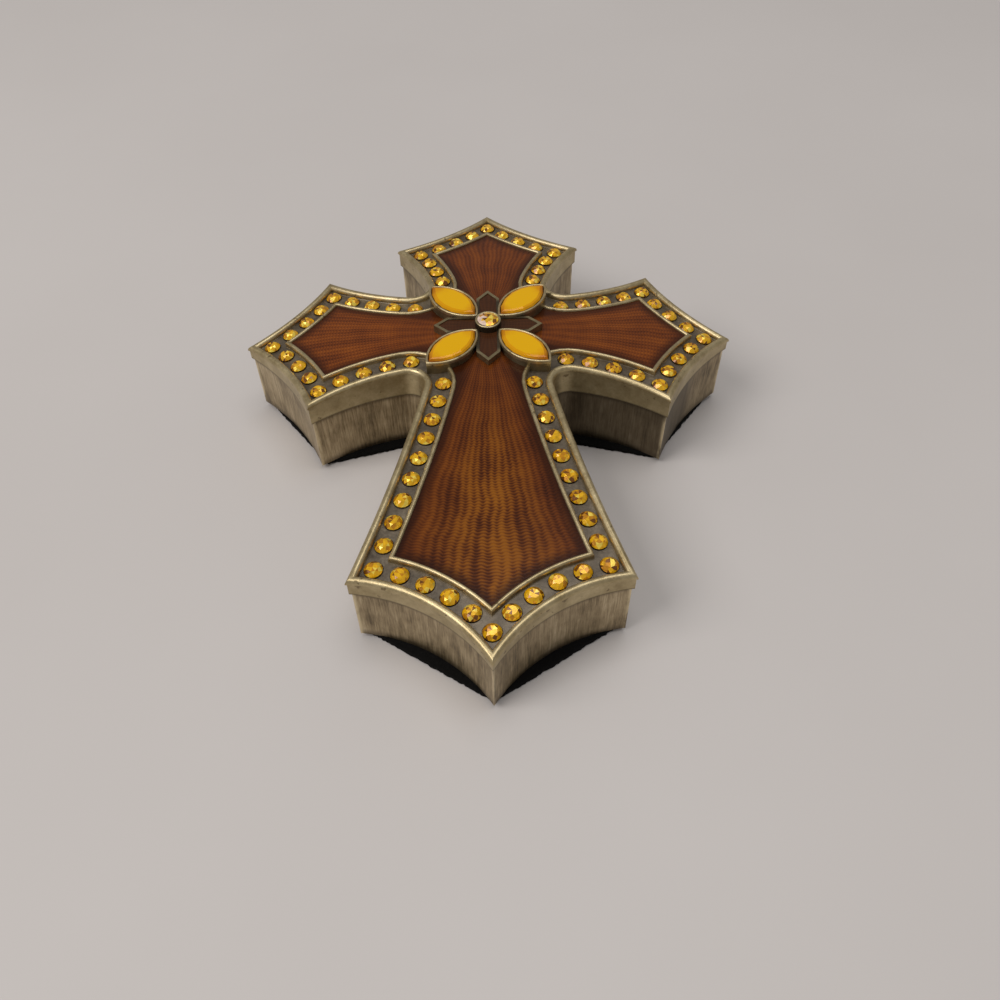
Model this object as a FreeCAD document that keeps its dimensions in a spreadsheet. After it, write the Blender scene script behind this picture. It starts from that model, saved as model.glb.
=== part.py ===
import FreeCAD, Part
import math
import os
import Sketcher
from FreeCAD import Placement, Rotation, Vector

# A cross-shaped trinket box: a cast tray on a felt pad, closed by a domed lift-off lid.
# The lid has a beaded rim, a channel set with round stones, a raised wire, four enamel
# panels and a raised ornament that holds four marquise stones and a round one.
# Origin: crossing of the arms on the resting plane. +Z up, +Y to the head of the cross.

os.makedirs("parts", exist_ok=True)
doc = FreeCAD.newDocument("trinket_box")

# Driving dimensions in millimetres, and counts where the name says so
SIZES = {
    "arm_reach": 36.8,
    "head_reach": 34.2,
    "foot_reach": 56.1,
    "arm_flare": 14.9,
    "arm_setback": 11.0,
    "foot_flare": 17.8,
    "foot_setback": 11.3,
    "waist_half": 8.5,
    "waist_fillet": 2.8,
    "arm_side_radius": 32,
    "arm_end_radius": 36,
    "foot_side_radius": 220,
    "foot_end_radius": 24,
    "felt_thick": 0.8,
    "felt_inset": 1.5,
    "felt_waist_out": 0.5,
    "base_height": 9.2,
    "base_wall": 1.6,
    "base_floor": 1.5,
    "base_inset": 0.25,
    "lid_edge": 2.3,
    "crown_rise": 2.9,
    "lid_web": 1.2,
    "lip_clearance": 0.35,
    "lip_wall": 1.0,
    "lip_depth": 2.0,
    "rim_width": 0.95,
    "channel_width": 2.9,
    "channel_depth": 0.9,
    "wire_width": 0.55,
    "wire_drop": 0.1,
    "field_depth": 1.1,
    "enamel_drop": 0.35,
    "stone_size": 2.4,
    "stone_table": 1.3,
    "stone_culet": 1.0,
    "stone_girdle": 0.2,
    "stone_proud": 0.75,
    "seat_gap": 0.08,
    "seat_depth": 0.5,
    "arm_side_count": 4,
    "arm_row_start": 11.4,
    "head_side_count": 3,
    "head_row_start": 13.8,
    "foot_side_count": 9,
    "foot_row_start": 11.4,
    "arm_end_count": 3,
    "foot_end_count": 4,
    "plate_drop": 0.8,
    "plate_thick": 1.4,
    "plate_half": 1.75,
    "plate_shoulder": 6.2,
    "plate_reach": 8.2,
    "plate_wire": 0.45,
    "plate_recess": 0.5,
    "plate_enamel_drop": 0.12,
    "marquise_start": 2.3,
    "marquise_length": 10.4,
    "marquise_width": 5.4,
    "marquise_bezel": 0.3,
    "marquise_cup": 1.8,
    "marquise_seat": 0.8,
    "marquise_crown": 0.35,
    "marquise_bevel": 0.9,
    "centre_size": 3.2,
    "centre_bezel": 0.3,
    "centre_cup": 2.3,
    "centre_seat": 1.3,
    "centre_proud": 0.4,
}
sheet = doc.addObject("Spreadsheet::Sheet", "sizes")
for row, (alias, number) in enumerate(SIZES.items(), start=1):
    sheet.set(f"A{row}", alias)
    sheet.set(f"B{row}", str(number))
    sheet.setAlias(f"B{row}", alias)
doc.recompute()


def value(expression):
    return float(sheet.evalExpression(expression))


# Levels, insets and the crown's shape, as expressions that several pieces share
SEAM = "(sizes.felt_thick + sizes.base_height)"
CROWN_TOP = f"({SEAM} + sizes.lid_edge + sizes.crown_rise)"
CHANNEL_EDGE = "(sizes.rim_width + sizes.channel_width)"
STONE_LINE = "(sizes.rim_width + sizes.channel_width / 2)"
FIELD_EDGE = f"({CHANNEL_EDGE} + sizes.wire_width)"
CAVITY_EDGE = "(sizes.base_inset + sizes.base_wall)"
LIP_EDGE = f"({CAVITY_EDGE} + sizes.lip_clearance)"
LIP_INNER = f"({LIP_EDGE} + sizes.lip_wall)"
UNDERSIDE = "(sizes.field_depth + sizes.lid_web)"
LID_DEPTH = "(sizes.lid_edge + sizes.crown_rise)"
CROWN_MIDDLE = "((sizes.head_reach - sizes.foot_reach) / 2)"
HALF_LENGTH = "((sizes.head_reach + sizes.foot_reach) / 2)"
LONG_RADIUS = f"(({HALF_LENGTH}^2 + sizes.crown_rise^2) / (2 * sizes.crown_rise))"
ARM_FALL = f"(sizes.crown_rise - {CROWN_MIDDLE}^2 / (2 * {LONG_RADIUS}))"
CROSS_RADIUS = f"((sizes.arm_reach^2 + {ARM_FALL}^2) / (2 * {ARM_FALL}))"
PLATE_LEVEL = f"({CROWN_TOP} - sizes.plate_drop)"
QUARTERS = {"head": 0, "left_arm": 90, "foot": 180, "right_arm": 270}
DIAGONALS = {"back_left": 135, "back_right": 45, "front_left": 225, "front_right": 315}


def bind(item, **expressions):
    for name, expression in expressions.items():
        item.setExpression(name.replace("__", "."), expression)
    return item


def prism(name, profile, bottom, height, turn=0):
    item = doc.addObject("Part::Extrusion", name)
    item.Base = profile
    item.DirMode = "Custom"
    item.Dir = Vector(0, 0, 1)
    item.Solid = True
    item.Placement = Placement(Vector(), Rotation(Vector(0, 0, 1), turn))
    return bind(item, LengthFwd=height, Placement__Base__z=bottom)


def cut(name, base, tool):
    item = doc.addObject("Part::Cut", name)
    item.Base = base
    item.Tool = tool
    return item


def common(name, base, tool):
    item = doc.addObject("Part::Common", name)
    item.Base = base
    item.Tool = tool
    return item


def fuse(name, shapes):
    item = doc.addObject("Part::MultiFuse", name)
    item.Shapes = shapes
    return item


def cylinder(name, radius, bottom, height):
    item = doc.addObject("Part::Cylinder", name)
    return bind(item, Radius=radius, Height=height, Placement__Base__z=bottom)


def solids(name, shapes):
    item = doc.addObject("Part::Feature", name)
    item.Shape = Part.makeCompound(shapes)
    return item


# Outlines: the corners of the cross, as distances from the two axes

def cross_corners(shrink="0", spread="0"):
    """Corners anticlockwise from the foot tip: signs and distances across and along.

    Shrink draws the tips and flared corners in, and spread moves the waists out.
    """
    arm_corner = f"sizes.arm_reach - sizes.arm_setback - {shrink} / 2"
    head_corner = f"sizes.head_reach - sizes.arm_setback - {shrink} / 2"
    foot_corner = f"sizes.foot_reach - sizes.foot_setback - {shrink} / 2"
    waist = f"sizes.waist_half + {spread}"
    flare = f"sizes.arm_flare - {shrink}"
    right = [
        (1, f"sizes.foot_flare - {shrink}", -1, foot_corner),
        (1, waist, -1, waist),
        (1, arm_corner, -1, flare),
        (1, f"sizes.arm_reach - {shrink}", 0, None),
        (1, arm_corner, 1, flare),
        (1, waist, 1, waist),
        (1, flare, 1, head_corner),
    ]
    left = [(-1, across, side, along) for _, across, side, along in reversed(right)]
    foot_tip = (0, None, -1, f"sizes.foot_reach - {shrink}")
    head_tip = (0, None, 1, f"sizes.head_reach - {shrink}")
    return [foot_tip] + right + [head_tip] + left


def corner_point(corner):
    right, across, front, along = corner
    return Vector(right * value(across or "0"), front * value(along or "0"), 0)


def hold_point(sketch, geometry, end, corner, name):
    """Ties a point of a sketch to its distances from the two axes."""
    right, across, front, along = corner
    for kind, side, expression, axis in (("DistanceX", right, across, -2), ("DistanceY", front, along, -1)):
        if expression is None:
            sketch.addConstraint(Sketcher.Constraint("PointOnObject", geometry, end, axis))
            continue
        ends = (-1, 1, geometry, end) if side > 0 else (geometry, end, -1, 1)
        index = sketch.addConstraint(Sketcher.Constraint(kind, *ends, value(expression)))
        sketch.renameConstraint(index, f"{name}_{kind}")
        sketch.setExpression(f"Constraints.{name}_{kind}", expression)


def hold_radius(sketch, arc, expression):
    index = sketch.addConstraint(Sketcher.Constraint("Radius", arc, value(expression)))
    sketch.renameConstraint(index, f"radius_{arc}")
    sketch.setExpression(f"Constraints.radius_{arc}", expression)


def polygon(name, places):
    """A closed sketch of straight lines through places held from the two axes."""
    sketch = doc.addObject("Sketcher::SketchObject", name)
    spots = [corner_point(place) for place in places]
    lines = []
    for spot, following in zip(spots, spots[1:] + spots[:1]):
        lines.append(sketch.addGeometry(Part.LineSegment(spot, following), False))
    for line, following in zip(lines, lines[1:] + lines[:1]):
        sketch.addConstraint(Sketcher.Constraint("Coincident", line, 2, following, 1))
    for line, place in zip(lines, places):
        hold_point(sketch, line, 1, place, f"corner_{line}")
    return sketch


# The outline of the lid: concave arcs between the tips, the flared corners and the waists

HALF_EDGES = ["foot_end_radius", "foot_side_radius", "arm_side_radius", "arm_end_radius",
              "arm_end_radius", "arm_side_radius", "arm_side_radius", "arm_end_radius"]
EDGES = HALF_EDGES + HALF_EDGES[::-1]
WAISTS = (2, 6, 10, 14)
corners = cross_corners()
points = [corner_point(corner) for corner in corners]
radii = [value(f"sizes.{alias}") for alias in EDGES]


def arc_centre(start, finish, radius):
    """Centre of the arc from start to finish that bows to the left of its chord."""
    chord = finish - start
    right = Vector(chord.y, -chord.x, 0).normalize()
    return (start + finish) * 0.5 + right * math.sqrt(radius**2 - chord.Length**2 / 4)


def circles_meet(centre, radius, other, other_radius, near):
    """The crossing of two circles that lies nearer to a point."""
    apart = centre.distanceToPoint(other)
    way = (other - centre).normalize()
    along = (apart**2 + radius**2 - other_radius**2) / (2 * apart)
    side = Vector(-way.y, way.x, 0) * math.sqrt(radius**2 - along**2)
    crossings = (centre + way * along + side, centre + way * along - side)
    return min(crossings, key=lambda crossing: crossing.distanceToPoint(near))


centres = [arc_centre(start, finish, radius)
           for start, finish, radius in zip(points, points[1:] + points[:1], radii)]


def waist_fillet(i):
    """Centre of the fillet at a waist, and where the outline enters and leaves it."""
    fillet = value("sizes.waist_fillet")
    before, after = centres[i - 1], centres[i]
    centre = circles_meet(before, radii[i - 1] - fillet, after, radii[i] - fillet, points[i])
    enter = before + (centre - before).normalize() * radii[i - 1]
    leave = after + (centre - after).normalize() * radii[i]
    return centre, enter, leave


def add_arc(sketch, centre, enter, leave):
    """An arc of under half a turn that the outline follows clockwise about its centre."""
    circle = Part.Circle(centre, Vector(0, 0, 1), centre.distanceToPoint(enter))
    low = math.atan2(leave.y - centre.y, leave.x - centre.x)
    high = math.atan2(enter.y - centre.y, enter.x - centre.x)
    if high < low:
        high += 2 * math.pi
    return sketch.addGeometry(Part.ArcOfCircle(circle, low, high), False)


def draw_outline():
    sketch = doc.addObject("Sketcher::SketchObject", "lid_outline")
    fillets = {i: waist_fillet(i) for i in WAISTS}
    chain = []
    edges = []
    for i, start in enumerate(points):
        following = (i + 1) % len(points)
        if i in fillets:
            chain.append((add_arc(sketch, *fillets[i]), "waist_fillet", True))
        enter = fillets[i][2] if i in fillets else start
        leave = fillets[following][1] if following in fillets else points[following]
        edges.append(add_arc(sketch, centres[i], enter, leave))
        chain.append((edges[i], EDGES[i], False))
    # A sketch arc runs anticlockwise, so the outline enters it at its end and leaves at its start.
    for (arc, _, rounds), (following, _, next_rounds) in zip(chain, chain[1:] + chain[:1]):
        kind = "Tangent" if rounds or next_rounds else "Coincident"
        sketch.addConstraint(Sketcher.Constraint(kind, arc, 1, following, 2))
    for arc, alias, _ in chain:
        hold_radius(sketch, arc, f"sizes.{alias}")
    for i, corner in enumerate(corners):
        if i not in fillets:
            hold_point(sketch, edges[i], 2, corner, f"corner_{i}")
            continue
        waist = sketch.addGeometry(Part.Point(points[i]), True)
        for edge in (edges[i - 1], edges[i]):
            sketch.addConstraint(Sketcher.Constraint("PointOnObject", waist, 1, edge))
        hold_point(sketch, waist, 1, corner, f"corner_{i}")
    return sketch


outline = draw_outline()


def inset(name, source, distance):
    item = doc.addObject("Part::Offset2D", name)
    item.Source = source
    item.Join = "Arc"
    return bind(item, Value=f"-({distance})")


base_outline = inset("base_outline", outline, "sizes.base_inset")
cavity_outline = inset("cavity_outline", outline, CAVITY_EDGE)
lip_outline = inset("lip_outline", outline, LIP_EDGE)
lip_inner_outline = inset("lip_inner_outline", outline, LIP_INNER)
channel_outline = inset("channel_outline", outline, "sizes.rim_width")
wire_outline = inset("wire_outline", outline, CHANNEL_EDGE)
field_outline = inset("field_outline", outline, FIELD_EDGE)

# Tray and felt

felt_outline = polygon("felt_outline", cross_corners("sizes.felt_inset", "sizes.felt_waist_out"))
prism("felt_pad", felt_outline, "0", "sizes.felt_thick")
tray_block = prism("tray_block", base_outline, "sizes.felt_thick", "sizes.base_height")
tray_cavity = prism("tray_cavity", cavity_outline, "sizes.felt_thick + sizes.base_floor", "sizes.base_height")
cut("base_tray", tray_block, tray_cavity)

# The crown: a barrel whose arc across the arms turns about an axis far below the box


def draw_crown():
    """Section of the crown across the arms, on the plane of its highest line."""
    sketch = doc.addObject("Sketcher::SketchObject", "crown_section")
    sketch.Placement = Placement(Vector(), Rotation(Vector(1, 0, 0), 90))
    bind(sketch, Placement__Base__y=CROWN_MIDDLE)
    top, radius = value(CROWN_TOP), value(CROSS_RADIUS)
    half = "sizes.arm_reach + sizes.arm_setback"
    floor = f"{SEAM} - 2 * sizes.lip_depth"
    edge = top - radius + math.sqrt(radius**2 - value(half)**2)
    middle = Vector(0, top - radius, 0)
    lean = math.asin(value(half) / radius)
    spots = [Vector(-value(half), edge, 0), Vector(-value(half), value(floor), 0),
             Vector(value(half), value(floor), 0), Vector(value(half), edge, 0)]
    lines = [sketch.addGeometry(Part.LineSegment(a, b), False) for a, b in zip(spots, spots[1:])]
    circle = Part.Circle(middle, Vector(0, 0, 1), radius)
    arc = sketch.addGeometry(Part.ArcOfCircle(circle, math.pi / 2 - lean, math.pi / 2 + lean), False)
    ring = lines + [arc]
    for line, following in zip(ring, ring[1:] + ring[:1]):
        sketch.addConstraint(Sketcher.Constraint("Coincident", line, 2, following, 1))
    hold_point(sketch, lines[1], 1, (-1, half, 1, floor), "left")
    hold_point(sketch, lines[1], 2, (1, half, 1, floor), "right")
    sketch.addConstraint(Sketcher.Constraint("Vertical", lines[0]))
    sketch.addConstraint(Sketcher.Constraint("Vertical", lines[2]))
    hold_radius(sketch, arc, CROSS_RADIUS)
    hold_point(sketch, arc, 3, (0, None, -1, f"{CROSS_RADIUS} - {CROWN_TOP}"), "middle")
    return sketch


crown_section = draw_crown()


def crown(name, drop):
    """The barrel, let down by a drop."""
    item = doc.addObject("Part::Revolution", name)
    item.Source = crown_section
    item.Axis = Vector(1, 0, 0)
    item.Symmetric = True
    item.Solid = True
    reach = f"({HALF_LENGTH} + sizes.foot_setback)"
    bind(item, Base__y=CROWN_MIDDLE, Base__z=f"{CROWN_TOP} - {LONG_RADIUS}")
    return bind(item, Angle=f"2 * asin({reach} / {LONG_RADIUS})", Placement__Base__z=f"-({drop})")


def crown_point(x, y, drop):
    """A point of the crown let down by a drop."""
    long_radius, cross_radius = value(LONG_RADIUS), value(CROSS_RADIUS)
    swing = long_radius - cross_radius + math.sqrt(cross_radius**2 - x**2)
    rise = math.sqrt(swing**2 - (y - value(CROWN_MIDDLE))**2)
    return Vector(x, y, value(CROWN_TOP) - long_radius + rise - drop)


def crown_normal(x, y):
    step = 0.01
    across = crown_point(x + step, y, 0) - crown_point(x - step, y, 0)
    along = crown_point(x, y + step, 0) - crown_point(x, y - step, 0)
    return across.cross(along).normalize()


crown_rim = crown("crown_rim", "0")
crown_channel = crown("crown_channel", "sizes.channel_depth")
crown_wire = crown("crown_wire", "sizes.wire_drop")
crown_field = crown("crown_field", "sizes.field_depth")
crown_enamel = crown("crown_enamel", "sizes.enamel_drop")
crown_lip = crown("crown_lip", "sizes.field_depth + sizes.lid_web / 2")
crown_under = crown("crown_under", UNDERSIDE)


def lid_prism(name, profile):
    """From the seam to clear above the crown."""
    return prism(name, profile, SEAM, f"{LID_DEPTH} + sizes.lip_depth")


# The ornament's outlines, which also bound the boss that it sits on

def draw_marquise():
    """Two arcs that meet in a point at both ends, along +X."""
    sketch = doc.addObject("Sketcher::SketchObject", "marquise_outline")
    half, bulge = "(sizes.marquise_length / 2)", "(sizes.marquise_width / 2)"
    radius = f"(({half}^2 + {bulge}^2) / (2 * {bulge}))"
    middle = f"sizes.marquise_start + {half}"
    start = Vector(value("sizes.marquise_start"), 0, 0)
    finish = start + Vector(value("sizes.marquise_length"), 0, 0)
    lean = math.asin(value(half) / value(radius))
    arcs = []
    for side in (1, -1):
        centre = Vector(value(middle), side * (value(bulge) - value(radius)), 0)
        circle = Part.Circle(centre, Vector(0, 0, 1), value(radius))
        facing = side * math.pi / 2
        arcs.append(sketch.addGeometry(Part.ArcOfCircle(circle, facing - lean, facing + lean), False))
    sketch.addConstraint(Sketcher.Constraint("Coincident", arcs[0], 2, arcs[1], 1))
    sketch.addConstraint(Sketcher.Constraint("Coincident", arcs[1], 2, arcs[0], 1))
    for arc in arcs:
        hold_radius(sketch, arc, radius)
    hold_point(sketch, arcs[0], 2, (1, "sizes.marquise_start", 0, None), "inner")
    hold_point(sketch, arcs[0], 1, (1, "sizes.marquise_start + sizes.marquise_length", 0, None), "outer")
    return sketch


def draw_bar():
    """A bar of the small cross, pointed at both ends."""
    half, shoulder, reach = "sizes.plate_half", "sizes.plate_shoulder", "sizes.plate_reach"
    return polygon("bar_outline", [
        (0, None, -1, reach), (1, half, -1, shoulder), (1, half, 1, shoulder),
        (0, None, 1, reach), (-1, half, 1, shoulder), (-1, half, -1, shoulder)])


marquise_outline = draw_marquise()
pocket_outline = inset("pocket_outline", marquise_outline, "sizes.marquise_bezel")
gem_outline = inset("gem_outline", marquise_outline, "sizes.marquise_bezel + sizes.seat_gap")
bar_outline = draw_bar()
bar_recess_outline = inset("bar_recess_outline", bar_outline, "sizes.plate_wire")


def ornament_group(name, bottom, bar_height, cup_height):
    """The small cross with the four cups' outlines, all rising from one level."""
    bars = [prism(f"{name}_bar_{turn}", bar_outline, bottom, bar_height, turn) for turn in (0, 90)]
    cups = [prism(f"{name}_cup_{turn}", marquise_outline, bottom, cup_height, turn)
            for turn in DIAGONALS.values()]
    return fuse(name, bars + cups)


boss_height = f"{LID_DEPTH} + sizes.lip_depth"
boss = ornament_group("boss", SEAM, boss_height, boss_height)
boss_clear = ornament_group("boss_clear", PLATE_LEVEL, boss_height, boss_height)

# Lid shell

lid_block = common("lid_block", lid_prism("lid_prism", outline), crown_rim)
channel_prism = lid_prism("channel_prism", channel_outline)
wire_prism = lid_prism("wire_prism", wire_outline)
field_prism = lid_prism("field_prism", field_outline)
channel_ring = cut("channel_ring", channel_prism, wire_prism)
wire_ring = cut("wire_ring", wire_prism, field_prism)
field_open = cut("field_open", field_prism, boss)
channel_open = cut("channel_open", channel_ring, boss)
relief = fuse("relief", [cut("channel_cut", channel_open, crown_channel),
                         cut("wire_cut", wire_ring, crown_wire),
                         cut("field_cut", field_open, crown_field), boss_clear])
lid_relief = cut("lid_relief", lid_block, relief)
hollow = common("hollow", prism("hollow_prism", lip_inner_outline, f"{SEAM} - sizes.lip_depth",
                                f"{LID_DEPTH} + sizes.lip_depth"), crown_under)
lid_hollow = cut("lid_hollow", lid_relief, hollow)
lip_height = f"{LID_DEPTH} + sizes.lip_depth"
lip_tube = cut("lip_tube", prism("lip_prism", lip_outline, f"{SEAM} - sizes.lip_depth", lip_height),
               prism("lip_bore", lip_inner_outline, f"{SEAM} - sizes.lip_depth", lip_height))
lid_lip = common("lid_lip", lip_tube, crown_lip)
lid_body = fuse("lid_body", [lid_hollow, lid_lip])
doc.recompute()

# Round stones: a stone on each flared corner and tip, and rows between them on the channel's middle


def stone_places():
    """Places of the stones of each row, on plan."""
    line = value(STONE_LINE)
    arcs = [radius + line for radius in radii]
    turns = [circles_meet(centres[i - 1], arcs[i - 1], centres[i], arcs[i], points[i])
             for i in range(len(points))]

    def spaced(i, start, finish, count):
        """Places at equal steps on the inset arc of an edge, from a start to a finish on it."""
        radius, last = start - centres[i], finish - centres[i]
        sweep = math.degrees(radius.getAngle(last)) * math.copysign(1, radius.cross(last).z)
        return [centres[i] + Rotation(Vector(0, 0, 1), sweep * step / count).multVec(radius)
                for step in range(count + 1)]

    def side_row(i, corner, limb):
        """From a flared corner to the row's start, a distance from the crossing along the limb."""
        count, start = int(value(f"sizes.{limb}_side_count")), value(f"sizes.{limb}_row_start")
        centre, corner_place = centres[i], turns[corner]
        if limb == "arm":
            across = math.copysign(start, corner_place.x)
            rise = math.sqrt(arcs[i]**2 - (across - centre.x)**2)
            finish = Vector(across, centre.y - math.copysign(rise, corner_place.y), 0)
        else:
            along = math.copysign(start, corner_place.y)
            rise = math.sqrt(arcs[i]**2 - (along - centre.y)**2)
            finish = Vector(centre.x - math.copysign(rise, corner_place.x), along, 0)
        return spaced(i, corner_place, finish, count)

    def end_row(i, count):
        return spaced(i, turns[i], turns[(i + 1) % len(turns)], count + 1)[1:-1]

    arm_count, foot_count = int(value("sizes.arm_end_count")), int(value("sizes.foot_end_count"))
    return {
        "foot_right_stones": side_row(1, 1, "foot"),
        "foot_left_stones": side_row(14, 15, "foot"),
        "foot_end_stones": end_row(15, foot_count) + [turns[0]] + end_row(0, foot_count),
        "right_arm_front_stones": side_row(2, 3, "arm"),
        "right_arm_back_stones": side_row(5, 5, "arm"),
        "right_arm_end_stones": end_row(3, arm_count) + [turns[4]] + end_row(4, arm_count),
        "left_arm_front_stones": side_row(13, 13, "arm"),
        "left_arm_back_stones": side_row(10, 11, "arm"),
        "left_arm_end_stones": end_row(11, arm_count) + [turns[12]] + end_row(12, arm_count),
        "head_right_stones": side_row(6, 7, "head"),
        "head_left_stones": side_row(9, 9, "head"),
        "head_end_stones": end_row(7, arm_count) + [turns[8]] + end_row(8, arm_count),
    }


def octagon(across, level):
    corners_round = [Vector(across / 2, 0, level)]
    for turn in range(45, 361, 45):
        corners_round.append(Rotation(Vector(0, 0, 1), turn).multVec(corners_round[0]))
    return Part.makePolygon(corners_round)


def cut_stone(across, table, culet, girdle, seat, proud):
    """An eight-sided stone: a flat foot in its seat, a girdle above the metal and a table."""
    sections = [octagon(culet, -seat), octagon(across, 0), octagon(across, girdle), octagon(table, proud)]
    return Part.makeLoft(sections, True, True)


def on_crown(place, drop):
    """The placement of a stone's seat, square to the crown."""
    turn = Rotation(Vector(0, 0, 1), crown_normal(place.x, place.y))
    return Placement(crown_point(place.x, place.y, drop), turn)


stone_rows = stone_places()
channel_drop = value("sizes.channel_depth")
round_stone = cut_stone(*(value(f"sizes.{alias}") for alias in (
    "stone_size", "stone_table", "stone_culet", "stone_girdle", "seat_depth", "stone_proud")))
seat = Part.makeCylinder(value("sizes.stone_size / 2 + sizes.seat_gap"),
                         value("sizes.seat_depth + sizes.stone_proud"),
                         Vector(0, 0, -value("sizes.seat_depth")))
seats = []
for row_name, places in stone_rows.items():
    solids(row_name, [round_stone.transformed(on_crown(place, channel_drop).toMatrix()) for place in places])
    seats += [seat.transformed(on_crown(place, channel_drop).toMatrix()) for place in places]
cut("lid_shell", lid_body, solids("stone_seats", seats))

# Enamel panels in the four limbs

enamel_block = cut("enamel_block", common("enamel_top", field_open, crown_enamel), crown_field)
for limb, turn in QUARTERS.items():
    wedge = doc.addObject("Part::Box", f"{limb}_wedge")
    wedge.Placement = Placement(Vector(), Rotation(Vector(0, 0, 1), turn + 45))
    bind(wedge, Length="sizes.foot_reach", Width="sizes.foot_reach", Height=CROWN_TOP)
    common(f"enamel_{limb}", enamel_block, wedge)

# Ornament: a small pointed cross with enamel in its arms, four marquise cups and a round cup

ornament_block = ornament_group("ornament_block", PLATE_LEVEL, "sizes.plate_thick", "sizes.marquise_cup")
cup_radius = "sizes.centre_size / 2 + sizes.seat_gap + sizes.centre_bezel"
centre_post = cylinder("centre_post", cup_radius, PLATE_LEVEL, "sizes.centre_cup")
recess_level = f"{PLATE_LEVEL} + sizes.plate_thick - sizes.plate_recess"
recess_bars = fuse("recess_bars", [prism(f"recess_bar_{turn}", bar_recess_outline, recess_level,
                                         "sizes.plate_recess", turn) for turn in (0, 90)])
cup_blocks = fuse("cup_blocks", [centre_post] + [
    prism(f"cup_block_{turn}", marquise_outline, PLATE_LEVEL, "sizes.marquise_cup", turn)
    for turn in DIAGONALS.values()])
plate_recess = cut("plate_recess", recess_bars, cup_blocks)
pocket_level = f"{PLATE_LEVEL} + sizes.marquise_seat"
pockets = [prism(f"pocket_{turn}", pocket_outline, pocket_level, "sizes.marquise_cup", turn)
           for turn in DIAGONALS.values()]
centre_bore = cylinder("centre_bore", "sizes.centre_size / 2 + sizes.seat_gap",
                       f"{PLATE_LEVEL} + sizes.centre_seat", "sizes.centre_cup")
cut("ornament", fuse("ornament_solid", [ornament_block, centre_post]),
    fuse("ornament_pockets", [plate_recess, centre_bore] + pockets))
enamel_bars = [prism(f"enamel_bar_{turn}", bar_recess_outline, recess_level,
                     "sizes.plate_recess - sizes.plate_enamel_drop", turn) for turn in (0, 90)]
cut("ornament_enamel", fuse("enamel_bars", enamel_bars), cup_blocks)

for corner_name, turn in DIAGONALS.items():
    foot_height = "sizes.marquise_cup - sizes.marquise_seat"
    gem_foot = prism(f"gem_foot_{turn}", gem_outline, pocket_level, foot_height, turn)
    gem_crown = prism(f"gem_crown_{turn}", gem_outline, f"{PLATE_LEVEL} + sizes.marquise_cup",
                      "sizes.marquise_crown", turn)
    bind(gem_crown, TaperAngle="-atan(sizes.marquise_bevel / sizes.marquise_crown)")
    fuse(f"marquise_{corner_name}", [gem_foot, gem_crown])

centre_depth = value("sizes.centre_cup - sizes.centre_seat")
centre_across = value("sizes.centre_size")
centre_gem = cut_stone(centre_across, value("sizes.centre_size / sizes.stone_size * sizes.stone_table"),
                       value("sizes.centre_size / sizes.stone_size * sizes.stone_culet"),
                       value("sizes.stone_girdle / 2"), centre_depth, value("sizes.centre_proud"))
centre_stone = solids("centre_stone", [centre_gem])
centre_stone.Placement = Placement(Vector(0, 0, value(f"{PLATE_LEVEL} + sizes.centre_cup")), Rotation())
doc.recompute()

PIECES = (["base_tray", "felt_pad", "lid_shell", "ornament", "ornament_enamel", "centre_stone"]
          + [f"enamel_{limb}" for limb in QUARTERS]
          + [f"marquise_{corner_name}" for corner_name in DIAGONALS]
          + list(stone_rows))

for item in doc.Objects:
    if "Invalid" in item.State or "Error" in item.State:
        raise RuntimeError(f"{item.Name} failed: {item.State}")
for name in PIECES:
    shape = doc.getObject(name).Shape
    if shape.isNull() or not shape.isValid() or not shape.Solids:
        raise RuntimeError(f"{name} has no valid solid")
for name in PIECES:
    shape = doc.getObject(name).Shape
    box = shape.BoundBox
    print(f"{name}: {len(shape.Solids)} solids, {shape.Volume:.1f} mm3, "
          f"z {box.ZMin:.2f} to {box.ZMax:.2f}")
    shape.exportStep(f"parts/{name}.step")
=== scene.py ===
"""Looks of a cross-shaped trinket box: antique brass, brown enamel, amber stones and black felt."""
import math
import random

import bmesh
import bpy
from mathutils import Matrix, Vector


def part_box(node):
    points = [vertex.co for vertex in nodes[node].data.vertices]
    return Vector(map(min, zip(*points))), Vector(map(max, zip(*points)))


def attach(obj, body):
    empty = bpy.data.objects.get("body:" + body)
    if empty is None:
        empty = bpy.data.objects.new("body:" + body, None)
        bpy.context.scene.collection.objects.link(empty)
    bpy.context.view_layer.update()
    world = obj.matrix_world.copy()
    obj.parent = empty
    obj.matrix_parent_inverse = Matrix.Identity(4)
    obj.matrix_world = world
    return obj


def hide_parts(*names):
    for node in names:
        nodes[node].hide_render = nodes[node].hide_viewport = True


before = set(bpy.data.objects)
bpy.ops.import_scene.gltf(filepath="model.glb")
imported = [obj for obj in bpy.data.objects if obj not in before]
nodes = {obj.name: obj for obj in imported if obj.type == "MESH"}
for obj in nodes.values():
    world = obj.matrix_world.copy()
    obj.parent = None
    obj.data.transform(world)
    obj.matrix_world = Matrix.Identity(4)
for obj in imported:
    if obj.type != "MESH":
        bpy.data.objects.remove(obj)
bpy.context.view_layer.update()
MM = 0.001
random.seed(7)

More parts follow.
